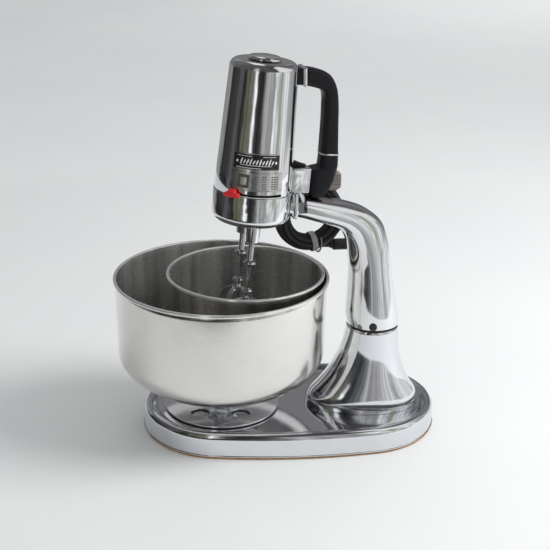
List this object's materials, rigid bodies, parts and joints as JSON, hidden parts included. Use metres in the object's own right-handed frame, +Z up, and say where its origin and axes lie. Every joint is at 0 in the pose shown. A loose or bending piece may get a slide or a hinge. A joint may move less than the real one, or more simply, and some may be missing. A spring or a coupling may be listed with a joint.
{
  "type": "stand mixer",
  "caption": "Chromed stand mixer: leaning portable head with a black handle on a swivelling arm and pedestal, over nested steel bowls on a turntable.",
  "frame": {"origin": "on the turntable's axis, on the underside of the base pad", "axes": "+X along the base from the bowls to the pedestal, +Z up, +Y away from the plates on the head"},
  "size_m": [0.35, 0.23, 0.4138],
  "materials": {
    "cork": "matte brown fibre pad",
    "chrome": "bright chrome plate",
    "plated_steel": "plated steel",
    "rubber": "satin black",
    "brass": "machined",
    "stainless": "polished and brushed stainless",
    "dark_steel": "blackened",
    "black_plate": "gloss enamel",
    "silver_plate": "satin printed plate",
    "phenolic": "black moulded phenolic",
    "cast_metal": "as cast",
    "laminated_iron": "laminated",
    "copper": "enamelled copper",
    "carbon": "carbon",
    "aluminium": "satin",
    "red_plastic": "moulded red",
    "tie": "grey twist tie",
    "bakelite": "brown moulded plug"
  },
  "bodies": {
    "base": {"base_pad": "cork", "base_shell": "chrome", "pedestal": "chrome", "swivel_post": "plated_steel", "post_bolt": "plated_steel", "collar_ring": "rubber", "turntable_pin": "plated_steel", "thrust_washer": "brass"},
    "turntable": {"turntable_disc": "plated_steel", "turntable_hub": "chrome", "large_bowl": "stainless"},
    "small_bowl": {"small_bowl": "stainless"},
    "arm": {"arm_casting": "chrome", "swivel_screw": "dark_steel", "cradle_hook": "plated_steel"},
    "head": {"gear_case": "chrome", "beater_boss_right": "chrome", "beater_boss_left": "chrome", "head_shell": "chrome", "top_cap": "chrome", "nameplate": "black_plate", "speed_chart": "silver_plate", "handle_bracket": "chrome", "handle_ferrule": "chrome", "handle_grip": "phenolic", "handle_heel": "phenolic", "handle_trim": "chrome", "bearing_plate": "cast_metal", "lower_bearing": "brass", "upper_bearing": "brass", "bearing_bridge": "cast_metal", "field_core": "laminated_iron", "field_coil_1": "copper", "field_coil_2": "copper", "brush_holder_left": "brass", "brush_left": "carbon", "brush_holder_right": "brass", "brush_right": "carbon", "cord_coil": "rubber", "strain_relief": "rubber", "cord_lead": "rubber", "cord_tail": "rubber", "cord_tie": "tie", "plug": "bakelite"},
    "armature": {"motor_shaft": "plated_steel", "armature_core": "laminated_iron", "commutator": "copper", "cooling_fan": "aluminium", "drive_pinion": "brass"},
    "beater_left": {"drive_gear": "brass", "spindle_left": "plated_steel", "spindle_gear_left": "brass", "beater_shaft_left": "plated_steel", "beater_blades_left": "plated_steel"},
    "beater_right": {"spindle_right": "plated_steel", "spindle_gear_right": "brass", "beater_shaft_right": "plated_steel", "beater_blades_right": "plated_steel"},
    "speed_control": {"speed_lever": "red_plastic", "speed_ring": "aluminium"}
  },
  "joints": [
    {"name": "turntable_spin", "type": "hinge", "parent": "base", "child": "turntable", "pos_m": [0, 0, 0.0242], "axis": [0, 0, 1], "continuous": true},
    {"name": "small_bowl_spin", "type": "hinge", "parent": "base", "child": "small_bowl", "pos_m": [0.0255, 0, 0.0506], "axis": [0, 0, 1], "continuous": true},
    {"name": "arm_swivel", "type": "hinge", "parent": "base", "child": "arm", "pos_m": [0.1648, 0, 0.1345], "axis": [0, 0, 1], "range_deg": [-24, 1]},
    {"name": "head_lift", "type": "slide", "parent": "arm", "child": "head", "axis": [0.0834, 0.017, 0.9964], "range_m": [0, 0.19]},
    {"name": "armature_spin", "type": "hinge", "parent": "head", "child": "armature", "pos_m": [0.0295, -0.02753, 0.24534], "axis": [0.0834, 0.017, 0.9964], "continuous": true},
    {"name": "beater_left_spin", "type": "hinge", "parent": "head", "child": "beater_left", "pos_m": [0.03002, -0.04477, 0.24558], "axis": [0.0834, 0.017, 0.9964], "continuous": true},
    {"name": "beater_right_spin", "type": "hinge", "parent": "head", "child": "beater_right", "pos_m": [0.02324, -0.01145, 0.24558], "axis": [0.0834, 0.017, 0.9964], "continuous": true},
    {"name": "speed_lever_turn", "type": "hinge", "parent": "head", "child": "speed_control", "pos_m": [0.02761, -0.02791, 0.2455], "axis": [0.0834, 0.017, 0.9964], "range_deg": [0, 66]}
  ],
  "couplings": [
    {"joint": "beater_left_spin", "follows": "armature_spin", "ratio": -0.27778},
    {"joint": "beater_right_spin", "follows": "armature_spin", "ratio": 0.27778}
  ]
}
